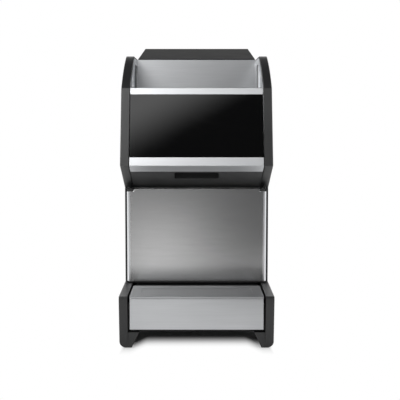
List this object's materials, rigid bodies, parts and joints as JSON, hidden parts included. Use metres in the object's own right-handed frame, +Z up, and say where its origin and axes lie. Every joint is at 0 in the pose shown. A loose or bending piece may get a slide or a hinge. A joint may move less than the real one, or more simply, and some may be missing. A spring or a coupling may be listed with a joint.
{
  "type": "milk fridge",
  "caption": "Counter-top milk fridge with a steel door in a niche, a drawer in the base and an open, warmed cup bay behind a black glass flap in the head.",
  "frame": {"origin": "middle of the footprint on the counter, at the underside of the rubber pads", "axes": "+Z up, +Y towards the back (the door and the flap face -Y), +X to the right as seen from the front"},
  "size_m": [0.36, 0.53, 0.7465],
  "materials": {
    "charcoal_moulding": "fine-grained satin charcoal",
    "dark_sheet": "satin dark powder coat",
    "brushed_steel": "brushed along the width",
    "door_steel": "brushed, with fingerprints",
    "satin_aluminium": "satin anodised",
    "bare_aluminium": "mill finish",
    "bright_steel": "bright plated",
    "zinc_sheet": "galvanised grey",
    "black_enamel": "gloss black enamel",
    "black_plastic": "fine moulded grain",
    "grey_plastic": "moulded, slightly worn",
    "white_plastic": "smooth white",
    "natural_plastic": "translucent natural",
    "lid_plastic": "blue lid",
    "rocker_plastic": "smooth black",
    "insulation": "cut rigid foam",
    "black_rubber": "matt",
    "grey_rubber": "soft matt",
    "orange_rubber": "silicone pad",
    "black_cable": "sheathed",
    "steel_tube": "drawn tube",
    "copper_tube": "drawn copper",
    "black_glass": "back-printed black glass"
  },
  "bodies": {
    "housing": {"side_panel_left": "charcoal_moulding", "side_panel_right": "charcoal_moulding", "foot_pads": "black_rubber", "base_chassis": "dark_sheet", "ledge_plate": "brushed_steel", "drawer_runners": "grey_plastic", "cabinet_shell": "zinc_sheet", "cabinet_foam": "insulation", "inner_liner": "white_plastic", "evaporator_plate": "bare_aluminium", "evaporator_pipe": "bare_aluminium", "hose_grommet": "grey_rubber", "door_hinge_pins": "bright_steel", "door_switch": "black_plastic", "flap_hinge_pins": "bright_steel", "underside_band": "dark_sheet", "cup_shelf": "brushed_steel", "shelf_heater": "orange_rubber", "recess_wall": "brushed_steel", "bay_liners": "brushed_steel", "rear_hood": "dark_sheet", "rear_panel": "zinc_sheet", "rear_panel_screws": "bright_steel", "machine_floor": "zinc_sheet", "compressor": "black_enamel", "compressor_mounts": "black_rubber", "condenser": "bare_aluminium", "fan_shroud": "black_plastic", "fan_motor": "zinc_sheet", "drier": "copper_tube", "discharge_pipe": "copper_tube", "liquid_pipe": "copper_tube", "capillary_pipe": "copper_tube", "suction_pipe": "copper_tube", "control_box": "grey_plastic", "mains_inlet": "black_plastic", "inlet_pins": "bright_steel", "switch_housing": "black_plastic", "mains_harness": "black_cable"},
    "milk_door": {"door_skin": "door_steel", "door_foam": "insulation", "door_edge_trims": "satin_aluminium", "door_corner_caps": "black_plastic", "door_bottom_rail": "black_plastic", "door_inner_panel": "white_plastic", "door_gasket": "grey_rubber"},
    "front_flap": {"flap_glass": "black_glass", "flap_carrier": "black_plastic", "flap_top_rail": "satin_aluminium", "flap_lower_rail": "satin_aluminium"},
    "base_drawer": {"drawer_front": "brushed_steel", "drawer_pan": "black_plastic", "drawer_slides": "grey_plastic"},
    "container": {"milk_container": "natural_plastic"},
    "lid": {"container_lid": "lid_plastic", "pickup_tube": "steel_tube"},
    "fan": {"fan_rotor": "grey_plastic"},
    "rocker": {"power_rocker": "rocker_plastic"},
    "knob": {"thermostat_knob": "black_plastic"},
    "plunger": {"switch_plunger": "white_plastic"}
  },
  "joints": [
    {"name": "milk_door_hinge", "type": "hinge", "parent": "housing", "child": "milk_door", "pos_m": [0.1688, -0.129, 0.24], "axis": [0, 0, 1], "range_deg": [0, 105]},
    {"name": "front_flap_hinge", "type": "hinge", "parent": "housing", "child": "front_flap", "pos_m": [0, -0.17461, 0.59832], "axis": [-1, 0, 0], "range_deg": [0, 75]},
    {"name": "base_drawer_slide", "type": "slide", "parent": "housing", "child": "base_drawer", "axis": [0, -1, 0], "range_m": [0, 0.19]},
    {"name": "container_lift", "type": "slide", "parent": "housing", "child": "container", "axis": [0, 0, 1], "range_m": [0, 0.012]},
    {"name": "lid_lift", "type": "slide", "parent": "container", "child": "lid", "axis": [0, 0, 1], "range_m": [0, 0.01]},
    {"name": "fan_spin", "type": "hinge", "parent": "housing", "child": "fan", "pos_m": [0.08, 0.2328, 0.457], "axis": [0, 1, 0], "continuous": true},
    {"name": "rocker_tilt", "type": "hinge", "parent": "housing", "child": "rocker", "pos_m": [-0.082, 0.2542, 0.072], "axis": [-1, 0, 0], "range_deg": [0, 14]},
    {"name": "knob_turn", "type": "hinge", "parent": "housing", "child": "knob", "pos_m": [-0.042, 0.256, 0.072], "axis": [0, 1, 0], "range_deg": [0, 270]},
    {"name": "plunger_press", "type": "slide", "parent": "housing", "child": "plunger", "axis": [0, 1, 0], "range_m": [0, 0.003], "stiffness_N_per_m": 120, "springref_m": -0.002}
  ]
}
